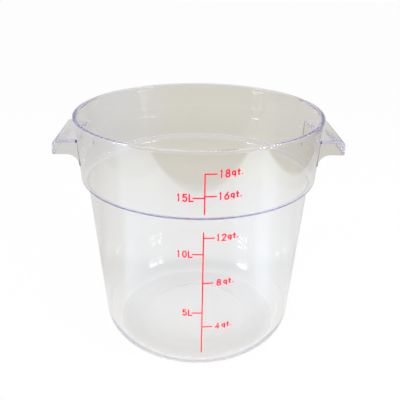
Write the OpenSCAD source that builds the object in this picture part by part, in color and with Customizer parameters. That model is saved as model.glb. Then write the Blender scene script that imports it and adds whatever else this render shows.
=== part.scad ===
// Round clear storage tub with a stepped collar, two moulded side handles and a printed volume scale.
// Origin: centre of the underside. +Z up, handles along X, printed scale facing -Y. Millimetres.

/* [Vessel] */
// Outside diameter over the rim
rim_d = 316.6; // [308:0.2:333]
// Thickness of the wall and the shoulder
wall_t = 2.3; // [2:0.1:2.8]
// Thickness of the floor
floor_t = 4; // [2.5:0.1:5]

/* [Lower body] */
// Height from the standing surface to the underside of the shoulder
shoulder_h = 233.8; // [212:0.2:256]
// Draft of the lower body from the vertical, in degrees
body_draft = 4; // [3:0.1:5]
// Radius of the outer corner between wall and underside
base_round = 35; // [20:1:45]
// Width of the flat ring that the tub stands on
standing_w = 14.7; // [6:0.1:30]
// Height of the panel above the standing ring
panel_rise = 2; // [0.5:0.1:3]
// Width of the slope from the standing ring in to the raised panel
panel_slope_w = 10; // [6:0.5:14]
// Radius of the soft bends at both ends of that slope
panel_round = 15; // [5:1:20]

/* [Collar] */
// Height from the underside of the shoulder to the rim
collar_h = 81; // [70:0.2:95]
// Draft of the collar from the vertical, in degrees
collar_draft = 3; // [2:0.1:5]
// Width of the shoulder from the lower body out to the collar
shoulder_w = 7.5; // [7.5:0.1:12]
// Outside radius of the bend from the lower body into the shoulder
shoulder_bend = 4.7; // [2:0.1:4.8]
// Radius of the collar's lower outer edge
foot_round = 2.2; // [1:0.1:2.4]

/* [Rim] */
// Height of the bead round the rim
bead_h = 3.6; // [3:0.1:8]
// How far the bead stands out from the collar
bead_proud = 1.2; // [1:0.1:2.5]
// Width of the rim's top from its outer edge to the inside
rim_land = 5; // [4.2:0.1:6]
// Radius of the rim's outer top edge
rim_round = 0.9; // [0.5:0.1:1.4]
// Radius of the rim's inner top edge
rim_inner_round = 2.2; // [1:0.1:2.6]
// Radius of the small edges of the bead, the lip and the ledge
fine_round = 0.5; // [0.2:0.1:0.5]

/* [Handles] */
// How far a handle reaches out past the rim
handle_reach = 22; // [16:0.2:28]
// Width of one handle along Y
handle_w = 95; // [80:1:110]
// Drop from the rim to the handle's top plate
handle_drop = 25.4; // [18:0.2:32]
// Depth from the top plate to the lower edge of the lip
handle_h = 18; // [15:0.1:24]
// Thickness of the top plate
plate_t = 3.8; // [3:0.1:5]
// Thickness of the outer lip
lip_t = 3; // [2.4:0.1:4]
// Draft of the lip from the vertical, in degrees
lip_draft = 3.5; // [0.5:0.1:4]
// Thickness of the two side skirts
skirt_t = 2.6; // [2:0.1:4]
// Radius of the rounded outer edge between plate and lip
grip_round = 6.5; // [5:0.5:12]
// Radius of the two upper side edges and the lip's outer corners
side_round = 3; // [0.6:0.1:5]
// Radius of the curve that runs the skirts down onto the collar
skirt_curve = 15; // [8:0.5:17]

/* [Printed scale] */
// Angle of the scale to the right of the front, in degrees
scale_turn = 1.75; // [-10:0.05:10]
// Width of the vertical line
stem_w = 1.5; // [1:0.1:2.5]
// Height of a mark's stroke
mark_t = 1.6; // [1:0.1:2.5]
// Length of a mark from the middle of the vertical line
mark_l = 12.9; // [8:0.1:18]
// Thickness of the ink
ink_t = 0.15; // [0.1:0.01:0.2]
// Gap from the shoulder up to the start of the upper line
upper_gap = 7; // [5:0.5:10]
// Gap from the shoulder down to the top of the lower line
lower_gap = 19; // [12:0.5:22]
// Gap from the round corner of the base up to the start of the lower line
foot_gap = 1.5; // [0.5:0.5:10]
// Least distance of the highest mark from the rim
scale_headroom = 12; // [10:0.5:20]

/* [Hidden] */
$fn = 128;

clear_tint = [0.84, 0.86, 0.87, 0.45];
ink_red = [0.95, 0.28, 0.31];
front = -90;
fine_step = 5;
edge_step = 18;
large_radius = 5;
slice_h = 1;
quart_marks = 5;
litre_marks = 3;
cubic_mm_per_litre = 1000000;
litres_per_quart = 0.946353;

rim_r = rim_d / 2;
collar_top_r = rim_r - bead_proud;
height = shoulder_h + collar_h;
collar_top_h = height - bead_h;
floor_round = base_round - wall_t;
ledge_h = shoulder_h + wall_t;
plate_top_h = height - handle_drop;
lip_foot_h = plate_top_h - handle_h;
lip_x = rim_r + handle_reach;

// Outside radius of the collar at height h
function collar_r(h) = collar_top_r - (collar_top_h - h) * tan(collar_draft);

// Outside radius of the lower body at height h
function body_r(h) = collar_r(shoulder_h) - shoulder_w - (shoulder_h - h) * tan(body_draft);

// Inner edge of the round base corner, of the standing ring and of the slope
corner_r = body_r(base_round) - base_round / cos(body_draft);
standing_r = corner_r - standing_w;
panel_r = standing_r - panel_slope_w;

// Inside radius of the lower body at height h
function body_bore_r(h) = body_r(h) - wall_t / cos(body_draft);

// Inside radius of the collar at height h, on a straight line from the ledge to the rim
function collar_bore_r(h) =
    let (foot = collar_r(ledge_h) - wall_t, top = rim_r - rim_land)
    foot + (top - foot) * (h - ledge_h) / (height - ledge_h);

// Outside radius of the wall that carries the print at height h
function printed_r(h) = h > shoulder_h ? collar_r(h) : body_r(h);

// Middle of the inner corner between wall and floor
corner_mid_h = floor_t + floor_round;
corner_mid_r = body_bore_r(corner_mid_h) - floor_round / cos(body_draft);

// Inside radius at height h, with the round corner over the floor
function bore_r(h) =
    h > ledge_h ? collar_bore_r(h)
    : h > corner_mid_h ? body_bore_r(h)
    : h > floor_t ? corner_mid_r + sqrt(pow(floor_round, 2) - pow(corner_mid_h - h, 2))
    : 0;

// Pairs of volume in litres and height, summed over thin slices from the floor to the rim
filled = [for (h = floor_t, v = 0; h < height; v = v + PI * pow(bore_r(h + slice_h / 2), 2) * slice_h
          / cubic_mm_per_litre, h = h + slice_h) [v, h]];

// Height that a volume in litres fills the vessel to
function litre_h(litres) = lookup(litres, filled);

// Volume in litres below height h
function litres_below(h) = lookup(h, [for (p = filled) [p.y, p.x]]);

// The highest mark is the last even number of quarts under the headroom, and the others are even steps below it
top_quarts = 2 * floor(litres_below(height - scale_headroom) / litres_per_quart / 2);
quart_step = floor((top_quarts - 1) / (quart_marks - 1));
litre_step = floor(top_quarts * litres_per_quart / litre_marks);

// Height of the quart mark number i, counted from the lowest
function quart_mark_h(i) = litre_h((i < quart_marks ? i * quart_step : top_quarts) * litres_per_quart);

// Height of the litre mark number i, counted from the lowest
function litre_mark_h(i) = litre_h(i * litre_step);

function unit(v) = v / norm(v);

// Arc of radius r that rounds the corner b between its neighbours a and c
function corner(a, b, c, r) =
    r == 0 ? [b]
    : let (to_a = unit(a - b),
           to_c = unit(c - b),
           half = acos(to_a * to_c) / 2,
           mid = b + unit(to_a + to_c) * r / sin(half),
           from = b + to_a * r / tan(half) - mid,
           to = b + to_c * r / tan(half) - mid,
           start = atan2(from.y, from.x),
           sweep = (atan2(to.y, to.x) - start + 540) % 360 - 180,
           steps = ceil(abs(sweep) / (r > large_radius ? fine_step : edge_step)))
      [for (i = [0:steps]) mid + r * [cos(start + sweep * i / steps), sin(start + sweep * i / steps)]];

// Outline through the points [x, y, radius], each corner rounded to its radius
function rounded(points) =
    let (n = len(points), flat = [for (p = points) [p.x, p.y]])
    [for (i = [0:n - 1]) each corner(flat[(i + n - 1) % n], flat[i], flat[(i + 1) % n], points[i].z)];

// Right half of the vessel's section: up the outside and down the inside
vessel_section = rounded([
    [0, panel_rise, 0],
    [panel_r, panel_rise, panel_round],
    [standing_r, 0, panel_round],
    [body_r(0), 0, base_round],
    [body_r(shoulder_h), shoulder_h, shoulder_bend],
    [collar_r(shoulder_h), shoulder_h, foot_round],
    [collar_r(collar_top_h), collar_top_h, fine_round],
    [rim_r, collar_top_h, fine_round],
    [rim_r, height, rim_round],
    [rim_r - rim_land, height, rim_inner_round],
    [collar_bore_r(ledge_h), ledge_h, fine_round],
    [body_bore_r(ledge_h), ledge_h, shoulder_bend + wall_t],
    [body_bore_r(floor_t), floor_t, floor_round],
    [standing_r, floor_t, panel_round],
    [panel_r, panel_rise + floor_t, panel_round],
    [0, panel_rise + floor_t, 0]
]);

// Where the skirts' outer faces meet the collar
skirt_x = sqrt(pow(collar_r(lip_foot_h), 2) - pow(handle_w / 2, 2));
root_x = body_r(shoulder_h) / 2;
skirt_foot_h = lip_foot_h - skirt_curve;

// How far out the lip's outer face is at height h
function lip_face_x(h) = lip_x - (h - lip_foot_h) * tan(lip_draft);

// Side outline of a handle: plate, rounded grip edge, lip, and the skirt's curve down to the collar
handle_side = rounded([
    [root_x, plate_top_h, 0],
    [lip_face_x(plate_top_h), plate_top_h, grip_round],
    [lip_x, lip_foot_h, fine_round],
    [skirt_x, lip_foot_h, skirt_curve],
    [skirt_x, skirt_foot_h, 0],
    [root_x, skirt_foot_h, 0]
]);

// Side outline of the hollow under a handle
hollow_top_h = plate_top_h - plate_t;
hollow_foot_h = skirt_foot_h - 1;
hollow_side = rounded([
    [root_x, hollow_top_h, 0],
    [lip_face_x(hollow_top_h) - lip_t, hollow_top_h, grip_round - lip_t],
    [lip_face_x(hollow_foot_h) - lip_t, hollow_foot_h, 0],
    [root_x, hollow_foot_h, 0]
]);

// Outline of a handle seen along X
handle_front = rounded([
    [-handle_w / 2, plate_top_h, side_round],
    [handle_w / 2, plate_top_h, side_round],
    [handle_w / 2, skirt_foot_h, 0],
    [-handle_w / 2, skirt_foot_h, 0]
]);

// Outline of a handle seen from above
handle_plan = rounded([
    [root_x, -handle_w / 2, 0],
    [lip_x, -handle_w / 2, side_round],
    [lip_x, handle_w / 2, side_round],
    [root_x, handle_w / 2, 0]
]);

// Extrudes an outline drawn in X and Z along Y, centred
module across(width) {
    rotate([90, 0, 0]) linear_extrude(width, center = true) children();
}

// Extrudes an outline drawn in Y and Z along X, from the axis outwards
module outwards(length) {
    rotate([90, 0, 90]) linear_extrude(length) children();
}

// The space inside the collar's outer face, which a handle stops at
module collar_core() {
    translate([0, 0, shoulder_h])
        cylinder(h = collar_top_h - shoulder_h, r1 = collar_r(shoulder_h), r2 = collar_r(collar_top_h));
}

// A handle on the +X side: a tray open below, seated on the collar
module handle_form() {
    difference() {
        intersection() {
            across(handle_w) polygon(handle_side);
            outwards(lip_x) polygon(handle_front);
            translate([0, 0, skirt_foot_h]) linear_extrude(height) polygon(handle_plan);
        }
        across(handle_w - 2 * skirt_t) polygon(hollow_side);
        collar_core();
    }
}

// A patch of ink on the outer wall from height h0 to h1, from arc length s0 to s1 right of the scale's middle
module ink(h0, h1, s0, s1) {
    r = printed_r((h0 + h1) / 2);
    degrees_per_mm = 180 / (PI * r);
    color(ink_red)
        rotate([0, 0, front + scale_turn + s0 * degrees_per_mm])
            rotate_extrude(angle = (s1 - s0) * degrees_per_mm)
                polygon([
                    [printed_r(h0), h0],
                    [printed_r(h0) + ink_t, h0],
                    [printed_r(h1) + ink_t, h1],
                    [printed_r(h1), h1]
                ]);
}

// A mark that leads right from the vertical line at height h
module mark_right(h) {
    ink(h - mark_t / 2, h + mark_t / 2, stem_w / 2, mark_l);
}

// A mark that leads left from the vertical line at height h
module mark_left(h) {
    ink(h - mark_t / 2, h + mark_t / 2, -mark_l, -stem_w / 2);
}

module vessel() {
    color(clear_tint) rotate_extrude() polygon(vessel_section);
}

module handle_right() {
    color(clear_tint) handle_form();
}

module handle_left() {
    color(clear_tint) mirror([1, 0, 0]) handle_form();
}

module scale_line_upper() {
    ink(shoulder_h + upper_gap, quart_mark_h(quart_marks) + mark_t / 2, -stem_w / 2, stem_w / 2);
}

module scale_line_lower() {
    ink(base_round + foot_gap, shoulder_h - lower_gap, -stem_w / 2, stem_w / 2);
}

vessel();
handle_left();
handle_right();
scale_line_upper();
scale_line_lower();
mark_right(quart_mark_h(5));  // mark_18_quart
mark_right(quart_mark_h(4));  // mark_16_quart
mark_right(quart_mark_h(3));  // mark_12_quart
mark_right(quart_mark_h(2));  // mark_8_quart
mark_right(quart_mark_h(1));  // mark_4_quart
mark_left(litre_mark_h(3));  // mark_15_litre
mark_left(litre_mark_h(2));  // mark_10_litre
mark_left(litre_mark_h(1));  // mark_5_litre
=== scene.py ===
"""Looks of a clear round storage tub with two moulded handles and a printed volume scale.

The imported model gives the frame: Z is up, the handles lie along X and the printed scale faces -Y.
Sizes here are in metres. The clear moulding is modelled again as one smooth closed surface, because light
bends through it; the printed lines and marks keep their own solids, and the numbers beside them are made here.
"""

from __future__ import annotations

import logging
import math
from dataclasses import dataclass, field
from enum import Enum

import bmesh
import bpy
import numpy as np
from mathutils import Matrix, Vector

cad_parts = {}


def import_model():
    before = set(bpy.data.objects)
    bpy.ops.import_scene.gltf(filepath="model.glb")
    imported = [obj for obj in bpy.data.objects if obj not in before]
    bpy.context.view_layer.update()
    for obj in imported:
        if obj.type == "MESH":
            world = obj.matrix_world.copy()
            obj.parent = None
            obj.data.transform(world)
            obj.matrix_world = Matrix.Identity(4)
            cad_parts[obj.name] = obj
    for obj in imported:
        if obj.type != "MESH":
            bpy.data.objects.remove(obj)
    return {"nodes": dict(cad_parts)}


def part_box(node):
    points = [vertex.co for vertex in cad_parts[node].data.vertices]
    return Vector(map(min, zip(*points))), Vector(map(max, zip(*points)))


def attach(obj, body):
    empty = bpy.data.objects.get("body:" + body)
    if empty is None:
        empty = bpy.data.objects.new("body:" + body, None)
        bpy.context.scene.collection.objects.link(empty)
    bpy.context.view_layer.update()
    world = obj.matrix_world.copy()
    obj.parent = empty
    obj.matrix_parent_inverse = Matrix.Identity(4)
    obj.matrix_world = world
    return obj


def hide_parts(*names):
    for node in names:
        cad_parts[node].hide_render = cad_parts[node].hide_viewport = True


LOG = logging.getLogger("tub")
BODY = "root"
MM = 0.001


class Slot(Enum):
    """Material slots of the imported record."""

    CLEAR = "clear_plastic"
    INK = "red_ink"


class Side(Enum):
    """Which side of the vertical line a mark and its label stand on."""

    LEFT = -1
    RIGHT = 1


def new_mesh(name: str, points: np.ndarray, faces: np.ndarray) -> bpy.types.Object:
    """Makes an object from vertex and face arrays.

    Args:
        name: name of the new object and mesh.
        points: vertex places, one row each, in metres.
        faces: vertex indices, one face a row; all faces have as many corners.

    Returns:
        The object, linked to the scene.
    """
    mesh = bpy.data.meshes.new(name)
    mesh.from_pydata(points.tolist(), [], faces.tolist())
    mesh.update()
    obj = bpy.data.objects.new(name, mesh)
    bpy.context.scene.collection.objects.link(obj)
    return obj


def smooth_by_angle(obj: bpy.types.Object, degrees: float) -> None:
    """Shades a mesh smooth, except along edges sharper than the angle.

    Args:
        obj: the mesh object.
        degrees: edges that bend more than this stay sharp.
    """
    obj.data.shade_smooth()
    obj.data.set_sharp_from_angle(angle=math.radians(degrees))


def rounded_outline(corners: list[tuple[float, float, float]], step: float) -> np.ndarray:
    """Rounds the corners of a closed outline.

    Each corner gives way to the arc of its radius that touches both of its sides: the arc's middle lies on
    the corner's bisector at radius / sin(half the corner's angle).

    Args:
        corners: (x, y, radius) of each corner, in order.
        step: largest angle between two points of an arc, in degrees.

    Returns:
        The outline's points, one row each.
    """
    spots = np.array([c[:2] for c in corners])
    pieces = []
    for i, (_, _, radius) in enumerate(corners):
        here = spots[i]
        if radius == 0:
            pieces.append(here[None])
            continue
        back = spots[i - 1] - here
        ahead = spots[(i + 1) % len(spots)] - here
        back, ahead = back / np.linalg.norm(back), ahead / np.linalg.norm(ahead)
        half = math.acos(float(np.clip(back @ ahead, -1, 1))) / 2
        bisector = (back + ahead) / np.linalg.norm(back + ahead)
        middle = here + bisector * radius / math.sin(half)
        start = here + back * radius / math.tan(half) - middle
        end = here + ahead * radius / math.tan(half) - middle
        first = math.atan2(start[1], start[0])
        sweep = (math.atan2(end[1], end[0]) - first + 3 * math.pi) % (2 * math.pi) - math.pi
        count = max(2, math.ceil(abs(math.degrees(sweep)) / step)) + 1
        turn = first + np.linspace(0, sweep, count)
        pieces.append(middle + radius * np.stack([np.cos(turn), np.sin(turn)], 1))
    return np.concatenate(pieces)


def prism(name: str, outline: np.ndarray, low: float, high: float, axes: str) -> bpy.types.Object:
    """Extrudes a closed outline into a closed solid.

    Args:
        name: name of the new object.
        outline: the outline's points, one row each.
        low: where the solid starts along the third axis.
        high: where it ends.
        axes: the two axes of the outline, then the axis of extrusion, such as "xzy".

    Returns:
        The solid.
    """
    n = len(outline)
    order = ["xyz".index(a) for a in axes]
    points = np.zeros((2 * n, 3))
    for end, place in enumerate((low, high)):
        rows = slice(end * n, (end + 1) * n)
        points[rows, order[0]] = outline[:, 0]
        points[rows, order[1]] = outline[:, 1]
        points[rows, order[2]] = place
    ring = np.arange(n)
    after = (ring + 1) % n
    sides = np.stack([ring, after, after + n, ring + n], 1).tolist()
    mesh = bpy.data.meshes.new(name)
    mesh.from_pydata(points.tolist(), [], [*sides, ring[::-1].tolist(), (ring + n).tolist()])
    obj = bpy.data.objects.new(name, mesh)
    bpy.context.scene.collection.objects.link(obj)
    face_outwards(obj)
    return obj


def face_outwards(obj: bpy.types.Object) -> None:
    """Turns every face of a closed mesh outwards."""
    work = bmesh.new()
    work.from_mesh(obj.data)
    bmesh.ops.recalc_face_normals(work, faces=work.faces)
    work.to_mesh(obj.data)
    work.free()
    obj.data.update()


def combine(target: bpy.types.Object, tool: bpy.types.Object, operation: str) -> None:
    """Joins, cuts or intersects a solid with another, which is used up.

    Args:
        target: the solid that changes.
        tool: the other solid; it is removed.
        operation: UNION, DIFFERENCE or INTERSECT.
    """
    modifier = target.modifiers.new("combine", "BOOLEAN")
    modifier.operation = operation
    modifier.solver = "EXACT"
    modifier.object = tool
    graph = bpy.context.evaluated_depsgraph_get()
    result = bpy.data.meshes.new_from_object(target.evaluated_get(graph))
    target.modifiers.clear()
    old = target.data
    target.data = result
    bpy.data.meshes.remove(old)
    spent = tool.data
    bpy.data.objects.remove(tool)
    bpy.data.meshes.remove(spent)


@dataclass(frozen=True)
class ClearPlastic:
    """Clear moulded polycarbonate."""

    tint: tuple[float, float, float] = (0.975, 0.973, 0.965)
    depth_colour: tuple[float, float, float] = (0.5, 0.42, 0.88)
    density: float = 4.5
    ior: float = 1.5
    roughness: float = 0.02
    satin: float = 0.8
    satin_band: tuple[float, float] = (3.0 * MM, 3.9 * MM)

    def build(self) -> bpy.types.Material:
        """Makes the material: tinted clear plastic with faint flow ripples and a satin underside.

        Returns:
            The material.
        """
        material = bpy.data.materials.new("clear_moulded_plastic")
        material.use_nodes = True
        tree = material.node_tree
        shader = tree.nodes["Principled BSDF"]
        shader.inputs["Base Color"].default_value = (*self.tint, 1)
        shader.inputs["Transmission Weight"].default_value = 1
        shader.inputs["IOR"].default_value = self.ior
        depth = tree.nodes.new("ShaderNodeVolumeAbsorption")
        depth.inputs["Color"].default_value = (*self.depth_colour, 1)
        depth.inputs["Density"].default_value = self.density
        place = tree.nodes.new("ShaderNodeTexCoord")
        ripple = tree.nodes.new("ShaderNodeTexNoise")
        ripple.inputs["Scale"].default_value = 9
        ripple.inputs["Detail"].default_value = 2
        bump = tree.nodes.new("ShaderNodeBump")
        bump.inputs["Strength"].default_value = 0.05
        bump.inputs["Distance"].default_value = 0.0006
        haze = tree.nodes.new("ShaderNodeMapRange")
        haze.inputs["To Min"].default_value = self.roughness * 0.5
        haze.inputs["To Max"].default_value = self.roughness * 1.5
        split = tree.nodes.new("ShaderNodeSeparateXYZ")
        under = tree.nodes.new("ShaderNodeMapRange")
        under.inputs["From Min"].default_value, under.inputs["From Max"].default_value = self.satin_band
        under.inputs["To Min"].default_value = self.satin
        under.inputs["To Max"].default_value = 0
        rough = tree.nodes.new("ShaderNodeMath")
        rough.operation = "ADD"
        link = tree.links.new
        link(depth.outputs["Volume"], tree.nodes["Material Output"].inputs["Volume"])
        link(place.outputs["Object"], ripple.inputs["Vector"])
        link(ripple.outputs["Fac"], bump.inputs["Height"])
        link(bump.outputs["Normal"], shader.inputs["Normal"])
        link(ripple.outputs["Fac"], haze.inputs["Value"])
        link(place.outputs["Object"], split.inputs["Vector"])
        link(split.outputs["Z"], under.inputs["Value"])
        link(haze.outputs["Result"], rough.inputs[0])
        link(under.outputs["Result"], rough.inputs[1])
        link(rough.outputs[0], shader.inputs["Roughness"])
        return material


@dataclass(frozen=True)
class RedInk:
    """Screen-printed red ink."""

    colour: tuple[float, float, float] = (0.96, 0.004, 0.03)
    thin_colour: tuple[float, float, float] = (0.97, 0.012, 0.045)

    def build(self) -> bpy.types.Material:
        """Makes the material: red with slightly thinner ink in patches.

        Returns:
            The material.
        """
        material = bpy.data.materials.new("red_screen_ink")
        material.use_nodes = True
        tree = material.node_tree
        shader = tree.nodes["Principled BSDF"]
        shader.inputs["Roughness"].default_value = 0.5
        shader.inputs["Specular IOR Level"].default_value = 0.05
        place = tree.nodes.new("ShaderNodeTexCoord")
        patch = tree.nodes.new("ShaderNodeTexNoise")
        patch.inputs["Scale"].default_value = 260
        mix = tree.nodes.new("ShaderNodeMix")
        mix.data_type = "RGBA"
        mix.inputs["A"].default_value = (*self.colour, 1)
        mix.inputs["B"].default_value = (*self.thin_colour, 1)
        link = tree.links.new
        link(place.outputs["Object"], patch.inputs["Vector"])
        link(patch.outputs["Fac"], mix.inputs["Factor"])
        link(mix.outputs["Result"], shader.inputs["Base Color"])
        return material


@dataclass
class Tub:
    """The clear moulding: body, shoulder, collar, rim and two handles, in one smooth surface."""

    rim_r: float = 158.3 * MM
    height: float = 314.8 * MM
    wall: float = 2.3 * MM
    floor: float = 4 * MM
    body_top_r: float = 145.544 * MM
    body_draft: float = math.radians(4)
    base_round: float = 35 * MM
    panel_r: float = 71.9 * MM
    panel_rise: float = 2 * MM
    panel_slope: float = 10 * MM
    panel_round: float = 15 * MM
    shoulder: float = 233.8 * MM
    collar_foot_r: float = 153.044 * MM
    shoulder_bend: float = 4.7 * MM
    foot_round: float = 2.2 * MM
    bead: float = 3.6 * MM
    bead_proud: float = 1.2 * MM
    rim_land: float = 5 * MM
    rim_round: float = 0.9 * MM
    rim_inner_round: float = 2.2 * MM
    fine_round: float = 0.5 * MM
    handle_reach: float = 180.3 * MM
    handle_w: float = 95 * MM
    handle_drop: float = 25.4 * MM
    handle_h: float = 18 * MM
    plate: float = 3.8 * MM
    lip: float = 3 * MM
    lip_draft: float = math.radians(3.5)
    skirt: float = 2.6 * MM
    grip_round: float = 6.5 * MM
    side_round: float = 3 * MM
    skirt_curve: float = 15 * MM
    around: int = 360
    arc_step: float = 4

    @property
    def collar_top_r(self) -> float:
        """Outside radius of the collar under the bead."""
        return self.rim_r - self.bead_proud

    @property
    def collar_top(self) -> float:
        """Height of the bead's underside."""
        return self.height - self.bead

    def body_r(self, h: float) -> float:
        """Outside radius of the lower body at height h."""
        return self.body_top_r - (self.shoulder - h) * math.tan(self.body_draft)

    def body_bore_r(self, h: float) -> float:
        """Inside radius of the lower body at height h."""
        return self.body_r(h) - self.wall / math.cos(self.body_draft)

    def collar_r(self, h: float) -> float:
        """Outside radius of the collar at height h."""
        rise = (self.collar_top_r - self.collar_foot_r) / (self.collar_top - self.shoulder)
        return self.collar_foot_r + rise * (h - self.shoulder)

    def printed_r(self, h: float) -> float:
        """Outside radius of the wall that carries the print at height h."""
        return self.collar_r(h) if h > self.shoulder else self.body_r(h)

    def section(self) -> np.ndarray:
        """Half section of the vessel, up the outside and down the inside.

        Returns:
            (radius, height) of each point.
        """
        ledge = self.shoulder + self.wall
        standing = self.panel_r + self.panel_slope
        return rounded_outline(
            [
                (0, self.panel_rise, 0),
                (self.panel_r, self.panel_rise, self.panel_round),
                (standing, 0, self.panel_round),
                (self.body_r(0), 0, self.base_round),
                (self.body_r(self.shoulder), self.shoulder, self.shoulder_bend),
                (self.collar_r(self.shoulder), self.shoulder, self.foot_round),
                (self.collar_r(self.collar_top), self.collar_top, self.fine_round),
                (self.rim_r, self.collar_top, self.fine_round),
                (self.rim_r, self.height, self.rim_round),
                (self.rim_r - self.rim_land, self.height, self.rim_inner_round),
                (self.collar_r(ledge) - self.wall, ledge, self.fine_round),
                (self.body_bore_r(ledge), ledge, self.shoulder_bend + self.wall),
                (self.body_bore_r(self.floor), self.floor, self.base_round - self.wall),
                (standing, self.floor, self.panel_round),
                (self.panel_r, self.panel_rise + self.floor, self.panel_round),
                (0, self.panel_rise + self.floor, 0),
            ],
            self.arc_step,
        )

    def vessel(self) -> bpy.types.Object:
        """Turns the section about the Z axis into a closed shell.

        The point at angle a and section point (r, h) is (r cos a, r sin a, h); the two points on the axis are
        one vertex each, so that both poles are closed.

        Returns:
            The shell.
        """
        section = self.section()
        ring, under, over = section[1:-1], section[0], section[-1]
        turn = np.linspace(0, 2 * np.pi, self.around, endpoint=False)
        grid = np.stack(
            [
                np.outer(np.cos(turn), ring[:, 0]),
                np.outer(np.sin(turn), ring[:, 0]),
                np.broadcast_to(ring[:, 1], (self.around, len(ring))),
            ],
            2,
        ).reshape(-1, 3)
        points = np.concatenate([grid, [[0, 0, under[1]], [0, 0, over[1]]]])
        m = len(ring)
        a, b = np.meshgrid(np.arange(self.around), np.arange(m - 1), indexing="ij")
        here, beside = a * m + b, (a + 1) % self.around * m + b
        quads = np.stack([here, beside, beside + 1, here + 1], 2).reshape(-1, 4)
        first = np.arange(self.around) * m
        after = np.roll(first, -1)
        low = np.full(self.around, len(grid))
        caps = np.concatenate(
            [
                np.stack([low, after, first], 1),
                np.stack([low + 1, first + m - 1, after + m - 1], 1),
            ]
        )
        mesh = bpy.data.meshes.new("tub_moulding")
        mesh.from_pydata(points.tolist(), [], [*quads.tolist(), *caps.tolist()])
        obj = bpy.data.objects.new("tub_moulding", mesh)
        bpy.context.scene.collection.objects.link(obj)
        face_outwards(obj)
        return obj

    def core(self) -> bpy.types.Object:
        """The cone in the middle of the collar's wall, which a handle's root reaches.

        Returns:
            The cone as a closed solid.
        """
        turn = np.linspace(0, 2 * np.pi, self.around, endpoint=False)
        low, high = self.shoulder, self.collar_top
        rings = [
            np.stack([r * np.cos(turn), r * np.sin(turn), np.full(self.around, h)], 1)
            for h, r in ((low, self.collar_r(low) - self.wall / 2), (high, self.collar_r(high) - self.wall / 2))
        ]
        ring = np.arange(self.around)
        after = np.roll(ring, -1)
        sides = np.stack([ring, after, after + self.around, ring + self.around], 1).tolist()
        mesh = bpy.data.meshes.new("core")
        mesh.from_pydata(
            np.concatenate(rings).tolist(), [], [*sides, ring[::-1].tolist(), (ring + self.around).tolist()]
        )
        obj = bpy.data.objects.new("core", mesh)
        bpy.context.scene.collection.objects.link(obj)
        face_outwards(obj)
        return obj

    def handle(self) -> bpy.types.Object:
        """The handle on the +X side: a tray open below, with rounded grip edge and curved skirts.

        Returns:
            The handle as a closed solid that reaches into the middle of the collar's wall.
        """
        top = self.height - self.handle_drop
        foot = top - self.handle_h
        half = self.handle_w / 2
        skirt_x = math.sqrt(self.collar_r(foot) ** 2 - half**2)
        root = self.body_top_r / 2
        end = foot - self.skirt_curve
        shoulder = self.handle_reach - self.handle_h * math.tan(self.lip_draft)
        side = rounded_outline(
            [
                (root, top, 0),
                (shoulder, top, self.grip_round),
                (self.handle_reach, foot, self.fine_round),
                (skirt_x, foot, self.skirt_curve),
                (skirt_x, end, 0),
                (root, end, 0),
            ],
            self.arc_step,
        )
        front = rounded_outline(
            [(-half, top, self.side_round), (half, top, self.side_round), (half, end, 0), (-half, end, 0)],
            3 * self.arc_step,
        )
        plan = rounded_outline(
            [
                (root, -half, 0),
                (self.handle_reach, -half, self.side_round),
                (self.handle_reach, half, self.side_round),
                (root, half, 0),
            ],
            3 * self.arc_step,
        )
        inner = shoulder - self.lip
        inner_foot = inner + (top - end + self.lip) * math.tan(self.lip_draft)
        hollow = rounded_outline(
            [
                (root, top - self.plate, 0),
                (inner, top - self.plate, self.grip_round - self.lip),
                (inner_foot, end - self.lip, 0),
                (root, end - self.lip, 0),
            ],
            self.arc_step,
        )
        obj = prism("handle", side, -half - self.lip, half + self.lip, "xzy")
        reach = self.handle_reach + self.lip
        combine(obj, prism("front", front, 0, reach, "yzx"), "INTERSECT")
        combine(obj, prism("plan", plan, end - self.lip, top + self.lip, "xyz"), "INTERSECT")
        combine(obj, prism("hollow", hollow, self.skirt - half, half - self.skirt, "xzy"), "DIFFERENCE")
        combine(obj, self.core(), "DIFFERENCE")
        return obj

    def mirrored(self, obj: bpy.types.Object) -> bpy.types.Object:
        """The mirror image of a solid across the YZ plane.

        Args:
            obj: the solid on the +X side, which stays.

        Returns:
            The solid on the -X side.
        """
        twin = obj.copy()
        twin.data = obj.data.copy()
        bpy.context.scene.collection.objects.link(twin)
        twin.data.transform(Matrix.Diagonal((-1, 1, 1, 1)))
        face_outwards(twin)
        return twin

    def build(self, material: bpy.types.Material) -> bpy.types.Object:
        """Builds the moulding and lets it stand for its CAD nodes.

        Args:
            material: the clear plastic.

        Returns:
            The finished piece.
        """
        obj = self.vessel()
        right = self.handle()
        left = self.mirrored(right)
        combine(obj, right, "UNION")
        combine(obj, left, "UNION")
        smooth_by_angle(obj, 26)
        obj.data.materials.clear()
        obj.data.materials.append(material)
        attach(obj, BODY)
        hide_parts("vessel", "handle_left", "handle_right")
        LOG.info("tub moulding: %d faces", len(obj.data.polygons))
        return obj


def arc(cx: float, cy: float, rx: float, ry: float, start: float, end: float, count: int = 14) -> np.ndarray:
    """Points along an ellipse's arc: (cx + rx cos a, cy + ry sin a), with a from start to end degrees."""
    a = np.radians(np.linspace(start, end, count))
    return np.stack([cx + rx * np.cos(a), cy + ry * np.sin(a)], 1)


def path(*pieces: np.ndarray | tuple[float, float]) -> np.ndarray:
    """Joins points and arcs into one stroke."""
    return np.concatenate([np.atleast_2d(np.asarray(p, float)) for p in pieces])


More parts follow.
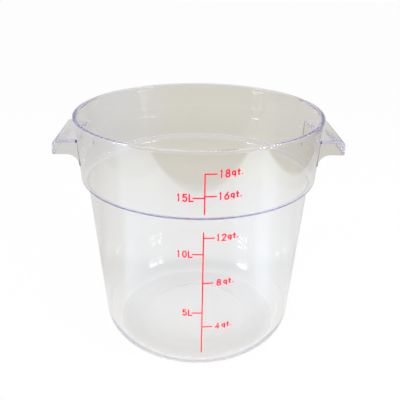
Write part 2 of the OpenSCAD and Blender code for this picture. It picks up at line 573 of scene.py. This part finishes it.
GLYPHS: dict[str, tuple[float, list[np.ndarray]]] = {
    "0": (0.5, [path(arc(0.25, 0.5, 0.25, 0.5, 90, 450, 28))]),
    "1": (0.36, [path((0.0, 0.86), (0.12, 1.0), (0.12, 0.0))]),
    "2": (0.5, [path(arc(0.25, 0.74, 0.25, 0.26, 170, -35), (0.0, 0.0), (0.5, 0.0))]),
    "4": (0.52, [path((0.38, 0.0), (0.38, 1.0), (0.0, 0.3), (0.52, 0.3))]),
    "5": (0.5, [path((0.46, 1.0), (0.06, 1.0), (0.02, 0.58), arc(0.23, 0.33, 0.27, 0.33, 128, -150))]),
    "6": (0.5, [path((0.42, 1.0), arc(0.25, 0.31, 0.25, 0.31, 155, 515, 28))]),
    "8": (
        0.5,
        [path(arc(0.25, 0.76, 0.2, 0.24, -90, 270, 24)), path(arc(0.25, 0.26, 0.25, 0.26, 90, 450, 26))],
    ),
    "q": (0.42, [path(arc(0.2, 0.51, 0.2, 0.24, 20, 380, 24)), path((0.41, 0.76), (0.41, 0.05))]),
    "t": (
        0.28,
        [
            path((0.12, 1.02), (0.12, 0.36), arc(0.22, 0.36, 0.1, 0.11, 180, 290, 6)),
            path((0.0, 0.76), (0.28, 0.76)),
        ],
    ),
    "L": (0.5, [path((0.0, 1.0), (0.0, 0.0), (0.5, 0.0))]),
    ".": (0.06, [path((0.02, 0.3), (0.05, 0.3))]),
    " ": (-0.16, []),
}


@dataclass
class Label:
    """A number and unit beside a mark of the printed scale."""

    name: str
    text: str
    mark: str
    side: Side
    gap: float = 3.1 * MM
    size: float = 8.2 * MM
    stroke: float = 1.6 * MM
    spacing: float = 0.32
    rise: float = 0.2 * MM

    def strokes(self) -> list[np.ndarray]:
        """Lays out the label's strokes.

        Returns:
            One array of (s, h) points a stroke, in metres, from the label's lower left corner.
        """
        out, pen = [], 0.0
        for letter in self.text:
            width, parts = GLYPHS[letter]
            out += [(part + (pen, 0.0)) * self.size for part in parts]
            pen += width + self.spacing
        return out

    def width(self) -> float:
        """Length of the label along the wall."""
        steps = [GLYPHS[letter][0] for letter in self.text]
        return (sum(steps) + self.spacing * (len(steps) - 1)) * self.size


@dataclass
class Scale:
    """The numbers of the printed scale, wrapped on the outer wall."""

    tub: Tub
    turn: float = math.radians(1.75 - 90)
    mark_l: float = 12.9 * MM
    ink: float = 0.15 * MM
    sunk: float = 0.05 * MM
    labels: list[Label] = field(
        default_factory=lambda: [
            Label("label_18_quart", "18qt.", "mark_18_quart", Side.RIGHT, 3.4 * MM),
            Label("label_16_quart", "16qt.", "mark_16_quart", Side.RIGHT, 3.1 * MM),
            Label("label_12_quart", "12qt.", "mark_12_quart", Side.RIGHT, 2.8 * MM),
            Label("label_8_quart", "8 qt.", "mark_8_quart", Side.RIGHT, 4.2 * MM),
            Label("label_4_quart", "4 qt.", "mark_4_quart", Side.RIGHT, 4.2 * MM),
            Label("label_15_litre", "15L", "mark_15_litre", Side.LEFT, -0.6 * MM),
            Label("label_10_litre", "10L", "mark_10_litre", Side.LEFT, -0.3 * MM),
            Label("label_5_litre", "5L", "mark_5_litre", Side.LEFT, -0.5 * MM),
        ]
    )

    def ribbon(self, stroke: np.ndarray, width: float) -> np.ndarray:
        """Outline of a stroke of constant width with round ends.

        Each side is the path moved half the width along its normal, which at a bend is lengthened by
        1 / cos(half the bend); half circles close both ends.

        Args:
            stroke: the path's points, one row each.
            width: the stroke's width.

        Returns:
            Left side, end cap, right side backwards and start cap, as (left, right) pairs of rows.
        """
        ahead = np.diff(stroke, axis=0)
        keep = np.concatenate([[True], np.linalg.norm(ahead, axis=1) > 1e-7])
        stroke = stroke[keep]
        ahead = np.diff(stroke, axis=0)
        ahead /= np.linalg.norm(ahead, axis=1)[:, None]
        before = np.vstack([ahead[:1], ahead])
        after = np.vstack([ahead, ahead[-1:]])
        mean = before + after
        mean /= np.linalg.norm(mean, axis=1)[:, None]
        normal = np.stack([-mean[:, 1], mean[:, 0]], 1)
        reach = width / 2 / np.clip((mean * after).sum(1), 0.5, 1)
        left = stroke + normal * reach[:, None]
        right = stroke - normal * reach[:, None]
        turn = np.radians(np.array([75, 50, 25]))
        for end, way in ((0, -1), (-1, 1)):
            out = ahead[end] * way
            across = np.array([-ahead[end][1], ahead[end][0]])
            tip = stroke[end] + width / 2 * (np.cos(turn)[:, None] * out + np.sin(turn)[:, None] * across)
            tail = stroke[end] + width / 2 * (np.cos(turn)[:, None] * out - np.sin(turn)[:, None] * across)
            if end == 0:
                left, right = np.vstack([tip[::-1], left]), np.vstack([tail[::-1], right])
            else:
                left, right = np.vstack([left, tip]), np.vstack([right, tail])
        return np.stack([left, right])

    def wrapped(self, flat: np.ndarray, lift: float, base_h: float) -> np.ndarray:
        """Wraps flat (s, h) points on the wall.

        A point goes to angle turn + s / r and height h, at the wall's own radius r there plus the lift.

        Args:
            flat: (s, h) of each point, with s from the scale's middle.
            lift: distance from the wall.
            base_h: height of the mark, which decides the part of the wall.

        Returns:
            The points in space.
        """
        radius = np.array([self.tub.printed_r(h) for h in flat[:, 1]]) + lift
        angle = self.turn + flat[:, 0] / self.tub.printed_r(base_h)
        return np.stack([radius * np.cos(angle), radius * np.sin(angle), flat[:, 1]], 1)

    def build_label(self, label: Label, material: bpy.types.Material) -> bpy.types.Object:
        """Makes one label as thin closed strokes on the wall.

        Args:
            label: what to print and where.
            material: the ink.

        Returns:
            The finished piece.
        """
        low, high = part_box(label.mark)
        mark_h = (low.z + high.z) / 2
        if label.side is Side.RIGHT:
            start = self.mark_l + label.gap
        else:
            start = -self.mark_l - label.gap - label.width()
        points, faces, count = [], [], 0
        for stroke in label.strokes():
            flat = stroke + (start, mark_h - label.size / 2 + label.rise)
            left, right = self.ribbon(flat, label.stroke)
            n = len(left)
            block = np.concatenate(
                [
                    self.wrapped(left, self.ink, mark_h),
                    self.wrapped(right, self.ink, mark_h),
                    self.wrapped(left, -self.sunk, mark_h),
                    self.wrapped(right, -self.sunk, mark_h),
                ]
            )
            i = np.arange(n - 1) + count
            top = np.stack([i, i + n, i + n + 1, i + 1], 1)
            bottom = np.stack([i + 2 * n, i + 2 * n + 1, i + 3 * n + 1, i + 3 * n], 1)
            side_a = np.stack([i, i + 1, i + 2 * n + 1, i + 2 * n], 1)
            side_b = np.stack([i + n, i + 3 * n, i + 3 * n + 1, i + n + 1], 1)
            ends = [
                [count, count + 2 * n, count + 3 * n, count + n],
                [count + n - 1, count + 2 * n - 1, count + 4 * n - 1, count + 3 * n - 1],
            ]
            faces += [top, bottom, side_a, side_b, np.array(ends)]
            points.append(block)
            count += 4 * n
        obj = new_mesh(label.name, np.concatenate(points), np.concatenate(faces))
        face_outwards(obj)
        obj.data.materials.append(material)
        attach(obj, BODY)
        LOG.info("%s: %s", label.name, label.text)
        return obj

    def build(self, material: bpy.types.Material) -> None:
        """Builds every label.

        Args:
            material: the ink.
        """
        for label in self.labels:
            self.build_label(label, material)


@dataclass(frozen=True)
class Lamp:
    """A soft lamp: degrees to the right of the front and above level, size in metres, 1 for white."""

    name: str
    azimuth: float
    elevation: float
    width: float
    height: float
    radiance: float


@dataclass
class Studio:
    """Floor, background, lamps and the camera of the photograph."""

    white: float = 1.0
    floor_share: float = 0.95
    distance: float = 674.5 * MM
    camera_h: float = 496.4 * MM
    pitch: float = 0.4281
    roll: float = 0.0098
    aside: float = 0.0159
    focal_px: float = 539.89
    frame_px: float = 400.0
    sensor: float = 36.0
    centre_px: float = 197.94
    ambient: float = 0.66
    # Painted shadow of the tub on the table: darkest 0.108 to 0.119 m from shadow_middle; further out the tone
    # changes with distance.
    painted_shadow_and_distance_tones: tuple[tuple[float, tuple[float, float, float]], ...] = (
        (0.05, (0.97, 0.96, 0.94)),
        (0.085, (0.93, 0.92, 0.905)),
        (0.108, (0.82, 0.815, 0.8)),
        (0.119, (0.82, 0.815, 0.8)),
        (0.132, (0.89, 0.885, 0.87)),
        (0.16, (0.89, 0.885, 0.87)),
        (0.45, (0.865, 0.855, 0.835)),
        (0.62, (0.865, 0.86, 0.845)),
        (0.76, (0.79, 0.785, 0.775)),
        (0.95, (0.775, 0.77, 0.76)),
        (1.25, (0.82, 0.815, 0.805)),
    )
    far_reach: float = 2.0
    side_tones: tuple[tuple[float, tuple[float, float, float]], ...] = (
        (-0.28, (1.0, 1.0, 1.0)),
        (-0.07, (1.0, 0.98, 0.885)),
        (0.18, (1.0, 0.98, 0.885)),
        (0.42, (0.93, 0.915, 0.845)),
    )
    side_from: tuple[float, float] = (0.4, 0.7)
    # Painted light on the table: brighter in front of the tub, darker to the back, darkest at the back edge of
    # the painted shadow.
    painted_front_light: tuple[tuple[float, float], ...] = (
        (-0.12, 1.08),
        (0.04, 0.96),
        (0.1, 0.83),
        (0.13, 0.78),
        (0.145, 0.79),
        (0.18, 0.86),
    )
    # Painted lamp light on the table near the tub, by the angle round it; only reflections show it, tinted by
    # lit_tint.
    lit_tones: tuple[tuple[float, float], ...] = (
        (-140, 0.0),
        (-110, 0.05),
        (-90, 0.2),
        (-75, 0.7),
        (-66, 2.3),
        (-33, 2.4),
        (-27, 2.2),
        (27, 2.2),
        (31, 2.8),
        (50, 3.0),
        (55, 3.8),
        (64, 3.4),
        (72, 2.0),
        (85, 1.0),
        (100, 0.6),
        (120, 0.2),
        (140, 0.0),
    )
    lit_tint: tuple[float, float, float] = (0.87, 1.0, 1.18)
    shadow_middle: tuple[float, float, float] = (0, 0.035, 0)
    lit_from: tuple[float, float] = (0.14, 0.36)
    table_x: tuple[float, float] = (-3.0, 0.66)
    table_y: tuple[float, float] = (-0.59, 3.0)
    edge: float = 0.03
    beyond: tuple[float, float, float] = (0.34, 0.29, 0.23)
    sky_greys: tuple[float, float] = (0.7, 0.85)
    aim: Vector = field(default_factory=lambda: Vector((0, 0, 0.16)))
    lamp_distance: float = 1.4
    bounces: int = 256
    lamps: tuple[Lamp, ...] = (
        Lamp("left_window", -66, 8.6, 0.34, 0.3, 48),
        Lamp("right_window_wide", 63, 8.2, 0.256, 0.28, 60),
        Lamp("right_window_narrow", 51.9, 8.2, 0.154, 0.28, 60),
    )

    def camera(self) -> None:
        """Puts the camera where the photograph was taken."""
        data = bpy.data.cameras.new("camera")
        data.sensor_width = self.sensor
        data.lens = self.focal_px / self.frame_px * self.sensor
        data.shift_x = (self.frame_px / 2 - self.centre_px) / self.frame_px
        data.clip_start = 0.01
        data.clip_end = 100
        obj = bpy.data.objects.new("camera", data)
        bpy.context.scene.collection.objects.link(obj)
        flat = Vector((math.sin(self.aside), math.cos(self.aside), 0))
        ahead = flat * math.cos(self.pitch) - Vector((0, 0, math.sin(self.pitch)))
        right = ahead.cross(Vector((0, 0, 1))).normalized()
        up = right.cross(ahead)
        rolled_right = right * math.cos(self.roll) + up * math.sin(self.roll)
        rolled_up = up * math.cos(self.roll) - right * math.sin(self.roll)
        turned = Matrix((rolled_right, rolled_up, -ahead)).transposed().to_4x4()
        obj.matrix_world = Matrix.Translation(-flat * self.distance + Vector((0, 0, self.camera_h))) @ turned
        bpy.context.scene.camera = obj

    def seen(self, tree: bpy.types.NodeTree) -> tuple[bpy.types.NodeSocket, ...]:
        """Masks for the camera's own rays, for mirrored ones, and for both together with refracted ones."""
        light = tree.nodes.new("ShaderNodeLightPath")
        either = tree.nodes.new("ShaderNodeMath")
        either.operation = "MAXIMUM"
        every = tree.nodes.new("ShaderNodeMath")
        every.operation = "MAXIMUM"
        link = tree.links.new
        link(light.outputs["Is Glossy Ray"], either.inputs[0])
        link(light.outputs["Is Transmission Ray"], either.inputs[1])
        link(either.outputs[0], every.inputs[0])
        link(light.outputs["Is Camera Ray"], every.inputs[1])
        return light.outputs["Is Camera Ray"], light.outputs["Is Reflection Ray"], every.outputs[0]

    def formula(
        self, tree: bpy.types.NodeTree, operation: str, a: bpy.types.NodeSocket, b: bpy.types.NodeSocket | float
    ) -> bpy.types.NodeSocket:
        """Result of one math node on two values."""
        node = tree.nodes.new("ShaderNodeMath")
        node.operation = operation
        tree.links.new(a, node.inputs[0])
        if isinstance(b, bpy.types.NodeSocket):
            tree.links.new(b, node.inputs[1])
        else:
            node.inputs[1].default_value = b
        return node.outputs[0]

    def step(
        self, tree: bpy.types.NodeTree, value: bpy.types.NodeSocket, low: float, high: float
    ) -> bpy.types.NodeSocket:
        """A smooth step from 0 at low to 1 at high; it falls instead where high is the smaller."""
        node = tree.nodes.new("ShaderNodeMapRange")
        node.interpolation_type = "SMOOTHSTEP"
        node.inputs["From Min"].default_value = min(low, high)
        node.inputs["From Max"].default_value = max(low, high)
        node.inputs["To Min"].default_value = 0 if low < high else 1
        node.inputs["To Max"].default_value = 1 if low < high else 0
        tree.links.new(value, node.inputs["Value"])
        return node.outputs["Result"]

    def tones(
        self, tree: bpy.types.NodeTree, value: bpy.types.NodeSocket, stops: list[tuple[float, tuple]]
    ) -> bpy.types.NodeSocket:
        """A colour for each value between 0 and 1, from (value, colour) stops."""
        node = tree.nodes.new("ShaderNodeValToRGB")
        elements = node.color_ramp.elements
        elements.remove(elements[1])
        for i, (spot, colour) in enumerate(stops):
            element = elements[0] if i == 0 else elements.new(spot)
            element.position = spot
            element.color = (*colour, 1)
        tree.links.new(value, node.inputs["Fac"])
        return node.outputs["Color"]

    def tinted(
        self, tree: bpy.types.NodeTree, value: bpy.types.NodeSocket, tint: tuple[float, float, float]
    ) -> bpy.types.NodeSocket:
        """A value times a colour."""
        node = tree.nodes.new("ShaderNodeVectorMath")
        node.operation = "SCALE"
        node.inputs[0].default_value = tint
        tree.links.new(value, node.inputs["Scale"])
        return node.outputs["Vector"]

    def toned_sides(
        self,
        tree: bpy.types.NodeTree,
        x: bpy.types.NodeSocket,
        y: bpy.types.NodeSocket,
        distance: bpy.types.NodeSocket,
    ) -> bpy.types.NodeSocket:
        """The table's painted shadow and its tone by distance, times its colour from left to right where y is
        past side_from.
        """
        first, last = self.side_tones[0][0], self.side_tones[-1][0]
        across = self.formula(tree, "DIVIDE", self.formula(tree, "SUBTRACT", x, first), last - first)
        far = [(spot / self.far_reach, colour) for spot, colour in self.painted_shadow_and_distance_tones]
        sides = [((spot - first) / (last - first), colour) for spot, colour in self.side_tones]
        mix = tree.nodes.new("ShaderNodeMix")
        mix.data_type = "RGBA"
        mix.blend_type = "MULTIPLY"
        link = tree.links.new
        link(self.step(tree, y, *self.side_from), mix.inputs["Factor"])
        link(self.tones(tree, self.formula(tree, "DIVIDE", distance, self.far_reach), far), mix.inputs["A"])
        link(self.tones(tree, across, sides), mix.inputs["B"])
        return mix.outputs["Result"]

    def table(self, tree: bpy.types.NodeTree, mirrored: bpy.types.NodeSocket) -> bpy.types.NodeSocket:
        """What the plastic shows of the table: a sheet with painted light, bright in front of the tub.

        Its colour by the distance from the middle of the tub's shadow is a painted shadow close by, and further
        out it changes with distance; painted light also falls off to the back, and far back the colour changes
        from left to right. What is mirrored also gets painted lamp light in front, which depends on the angle
        a = atan2(x, -y) round the tub. Past the sheet's edges the room is dim.

        Args:
            tree: the floor's nodes.
            mirrored: 1 for rays that come from a reflection.

        Returns:
            The colour.
        """
        place = tree.nodes.new("ShaderNodeTexCoord")
        split = tree.nodes.new("ShaderNodeSeparateXYZ")
        away = tree.nodes.new("ShaderNodeVectorMath")
        away.operation = "DISTANCE"
        away.inputs[1].default_value = self.shadow_middle
        tree.links.new(place.outputs["Object"], split.inputs["Vector"])
        tree.links.new(place.outputs["Object"], away.inputs[0])
        x, y, distance = split.outputs["X"], split.outputs["Y"], away.outputs["Value"]
        # Painted front light: brighter in front, darker to the back.
        first, last, top = self.painted_front_light[0][0], self.painted_front_light[-1][0], self.painted_front_light[0][1]
        stops = [((spot - first) / (last - first), (share / top,) * 3) for spot, share in self.painted_front_light]
        across = self.formula(tree, "DIVIDE", self.formula(tree, "SUBTRACT", y, first), last - first)
        painted_front_light = self.formula(tree, "MULTIPLY", self.tones(tree, across, stops), top)
        side = self.toned_sides(tree, x, y, distance)
        far = tree.nodes.new("ShaderNodeVectorMath")
        far.operation = "SCALE"
        tree.links.new(side, far.inputs[0])
        tree.links.new(painted_front_light, far.inputs["Scale"])
        # Painted lamp light, for reflected rays only.
        angle = self.formula(tree, "ARCTAN2", x, self.formula(tree, "MULTIPLY", y, -1))
        turn = self.formula(tree, "ADD", self.formula(tree, "DIVIDE", angle, 2 * math.pi), 0.5)
        most = max(glow for _, glow in self.lit_tones)
        stops = [(degrees / 360 + 0.5, (glow / most,) * 3) for degrees, glow in self.lit_tones]
        near = self.formula(tree, "MULTIPLY", self.step(tree, distance, *self.lit_from), mirrored)
        lit = self.formula(tree, "MULTIPLY", self.tones(tree, turn, stops), near)
        lit = self.tinted(tree, self.formula(tree, "MULTIPLY", lit, most), self.lit_tint)
        glow = tree.nodes.new("ShaderNodeVectorMath")
        glow.operation = "ADD"
        tree.links.new(far.outputs["Vector"], glow.inputs[0])
        tree.links.new(lit, glow.inputs[1])
        inside = None
        for value, (low, high) in ((x, self.table_x), (y, self.table_y)):
            for limit, way in ((low, 1), (high, -1)):
                edge = self.step(tree, value, limit - way * self.edge / 2, limit + way * self.edge / 2)
                inside = edge if inside is None else self.formula(tree, "MULTIPLY", inside, edge)
        colour = tree.nodes.new("ShaderNodeMix")
        colour.data_type = "RGBA"
        colour.inputs["A"].default_value = (*self.beyond, 1)
        tree.links.new(inside, colour.inputs["Factor"])
        tree.links.new(glow.outputs["Vector"], colour.inputs["B"])
        return colour.outputs["Result"]

    def floor(self) -> None:
        """A wide pale floor: white to the camera, to the plastic a table with painted light and a painted
        shadow, and a faint real shadow from its diffuse share.
        """
        reach = 6.0
        corners = np.array([[-reach, -reach, 0], [reach, -reach, 0], [reach, reach, 0], [-reach, reach, 0]])
        obj = new_mesh("floor", corners - (0, 0, 0.0002), np.array([[0, 1, 2, 3]]))
        material = bpy.data.materials.new("pale_floor")
        material.use_nodes = True
        tree = material.node_tree
        camera, mirrored, every = self.seen(tree)
        shader = tree.nodes["Principled BSDF"]
        shader.inputs["Base Color"].default_value = (0.95, 0.95, 0.95, 1)
        shader.inputs["Roughness"].default_value = 0.9
        shader.inputs["Specular IOR Level"].default_value = 0.1
        colour = tree.nodes.new("ShaderNodeMix")
        colour.data_type = "RGBA"
        colour.inputs["B"].default_value = (self.white, self.white, self.white, 1)
        glow = tree.nodes.new("ShaderNodeEmission")
        mix = tree.nodes.new("ShaderNodeMixShader")
        link = tree.links.new
        # The plastic sees the table's painted light and painted shadow; the camera sees white.
        link(self.table(tree, mirrored), colour.inputs["A"])
        link(camera, colour.inputs["Factor"])
        link(colour.outputs["Result"], glow.inputs["Color"])
        link(self.formula(tree, "MULTIPLY", every, self.floor_share), mix.inputs["Fac"])
        link(shader.outputs["BSDF"], mix.inputs[1])
        link(glow.outputs["Emission"], mix.inputs[2])
        link(mix.outputs["Shader"], tree.nodes["Material Output"].inputs["Surface"])
        obj.data.materials.append(material)

    def world(self) -> None:
        """White behind the object, and a soft grey studio round it."""
        world = bpy.data.worlds.new("studio")
        bpy.context.scene.world = world
        world.use_nodes = True
        tree = world.node_tree
        camera, _, every = self.seen(tree)
        soft = tree.nodes["Background"]
        soft.inputs["Strength"].default_value = self.ambient
        soft.inputs["Color"].default_value = (1, 1, 1, 1)
        place = tree.nodes.new("ShaderNodeTexCoord")
        split = tree.nodes.new("ShaderNodeSeparateXYZ")
        ramp = tree.nodes.new("ShaderNodeValToRGB")
        for element, grey in zip(ramp.color_ramp.elements, self.sky_greys):
            element.color = (grey, grey, grey, 1)
        colour = tree.nodes.new("ShaderNodeMix")
        colour.data_type = "RGBA"
        colour.inputs["B"].default_value = (self.white, self.white, self.white, 1)
        shown = tree.nodes.new("ShaderNodeBackground")
        mix = tree.nodes.new("ShaderNodeMixShader")
        link = tree.links.new
        link(place.outputs["Generated"], split.inputs["Vector"])
        link(split.outputs["Z"], ramp.inputs["Fac"])
        link(ramp.outputs["Color"], colour.inputs["A"])
        link(camera, colour.inputs["Factor"])
        link(colour.outputs["Result"], shown.inputs["Color"])
        link(every, mix.inputs["Fac"])
        link(soft.outputs["Background"], mix.inputs[1])
        link(shown.outputs["Background"], mix.inputs[2])
        link(mix.outputs["Shader"], tree.nodes["World Output"].inputs["Surface"])

    def lamp(self, lamp: Lamp) -> None:
        """Adds a soft lamp that looks at the tub.

        It stands at distance times (sin a cos e, -cos a cos e, sin e) from the tub's middle.

        Args:
            lamp: the lamp's place, size and brightness.
        """
        data = bpy.data.lights.new(lamp.name, "AREA")
        data.shape = "RECTANGLE"
        data.size = lamp.width
        data.size_y = lamp.height
        data.energy = lamp.radiance * math.pi * lamp.width * lamp.height
        obj = bpy.data.objects.new(lamp.name, data)
        a, e = math.radians(lamp.azimuth), math.radians(lamp.elevation)
        way = Vector((math.sin(a) * math.cos(e), -math.cos(a) * math.cos(e), math.sin(e)))
        obj.location = self.aim + way * self.lamp_distance
        obj.rotation_euler = (-way).to_track_quat("-Z", "Y").to_euler()
        bpy.context.scene.collection.objects.link(obj)

    def build(self) -> None:
        """Builds the whole studio, and lets light go far enough through the plastic's walls."""
        self.camera()
        self.floor()
        self.world()
        for lamp in self.lamps:
            self.lamp(lamp)
        scene = bpy.context.scene
        scene.cycles.max_bounces = self.bounces
        scene.cycles.glossy_bounces = self.bounces
        scene.cycles.transmission_bounces = self.bounces
        scene.view_settings.view_transform = "Standard"


def rows(corners: tuple[Vector, Vector]) -> list[list[float]]:
    """Corner vectors as plain lists."""
    return [list(corner) for corner in corners]


def main(frame: dict) -> None:
    """Builds the object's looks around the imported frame.
    """
    logging.basicConfig(level=logging.INFO, format="%(name)s: %(message)s")
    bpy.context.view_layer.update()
    Studio().build()
    plastic = ClearPlastic().build()
    ink = RedInk().build()
    tub = Tub()
    tub.build(plastic)
    Scale(tub).build(ink)
    for name, obj in frame["nodes"].items():
        material = ink if name.startswith(("mark_", "scale_")) else plastic
        for slot in obj.material_slots:
            slot.material = material
        LOG.info("CAD node %s: %s", name, material.name)


if __name__ == "__main__":
    main(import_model())
